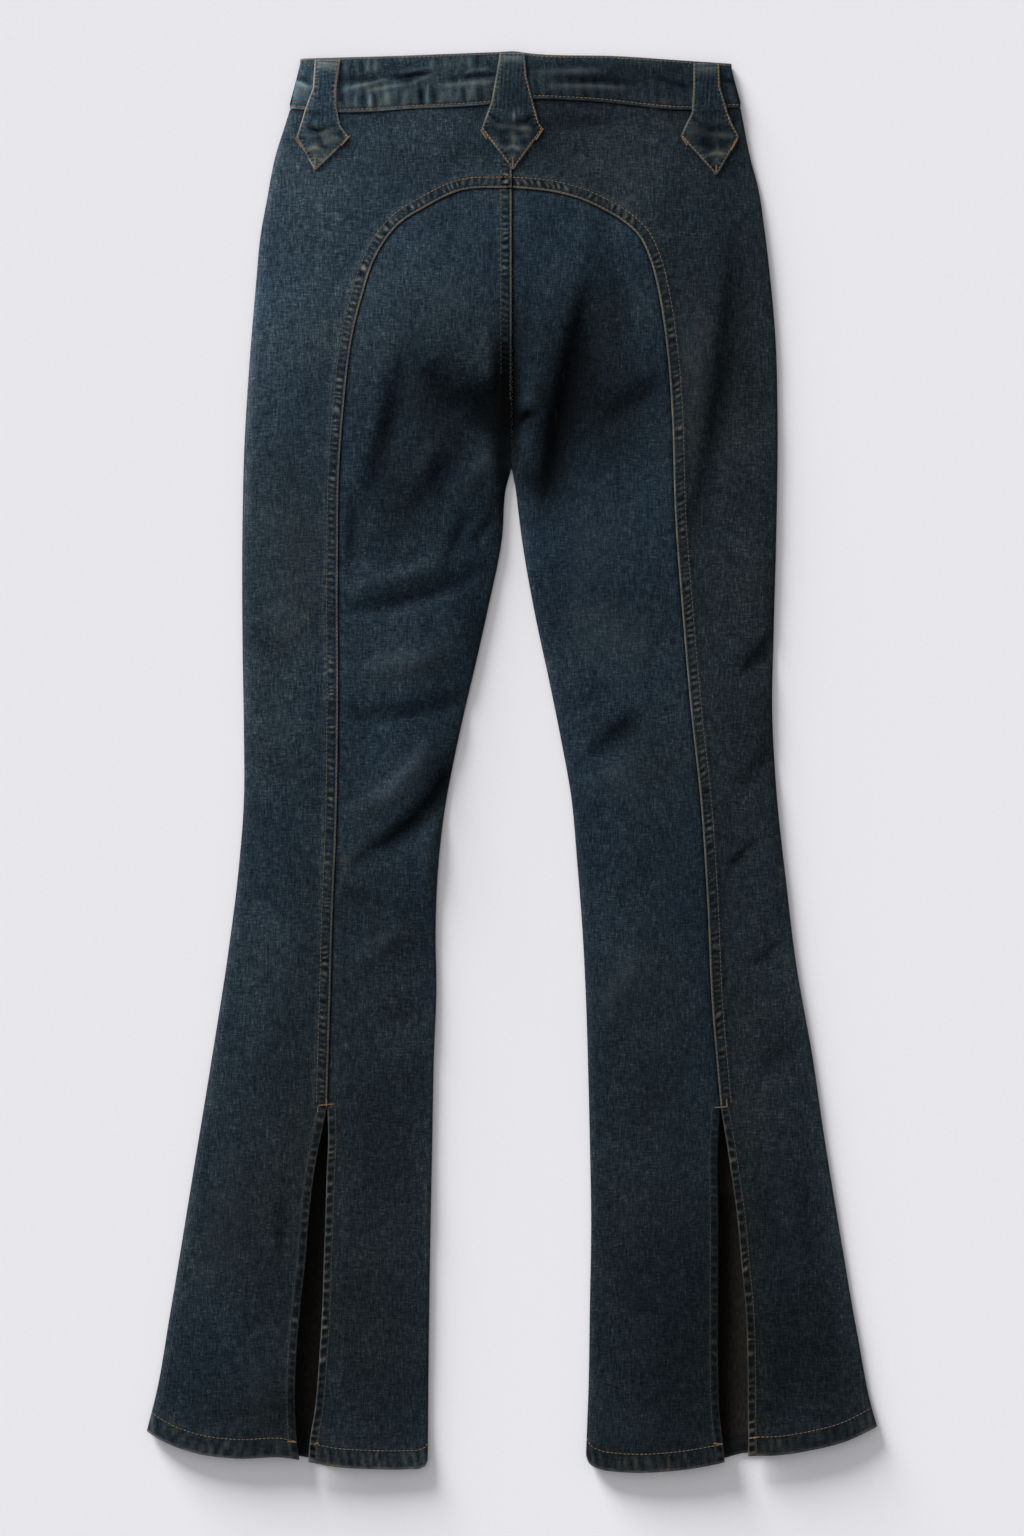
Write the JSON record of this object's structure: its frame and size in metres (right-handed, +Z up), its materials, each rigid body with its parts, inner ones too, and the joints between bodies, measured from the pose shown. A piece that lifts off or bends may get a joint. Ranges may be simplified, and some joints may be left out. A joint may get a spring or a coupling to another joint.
{
  "type": "bootcut jeans",
  "caption": "Bootcut jeans lying flat with the back up: arched lapped seams down the back of the legs, arrow-tab belt loops and slit hems.",
  "frame": {"origin": "on the surface that the jeans lie on, under the middle of their bounding box", "axes": "+Y towards the waistband, +Z up out of the surface, -X towards the wearer's left leg"},
  "size_m": [0.569, 1.1084, 0.0124],
  "materials": {
    "denim": "dark blue washed stretch denim, faded along the seams",
    "waistband_denim": "dark blue washed stretch denim, two layers",
    "loop_denim": "dark blue washed stretch denim, edges worn pale",
    "stitching": "tan and orange core-spun sewing thread",
    "antique_brass": "aged, matt"
  },
  "bodies": {
    "root": {"back_side_left": "denim", "back_side_right": "denim", "back_inner_left": "denim", "back_inner_right": "denim", "front_left": "denim", "front_right": "denim", "waistband_back": "waistband_denim", "waistband_front_left": "waistband_denim", "waistband_front_right": "waistband_denim", "belt_loop_left": "loop_denim", "belt_loop_centre": "loop_denim", "belt_loop_right": "loop_denim", "button": "antique_brass"}
  },
  "joints": []
}
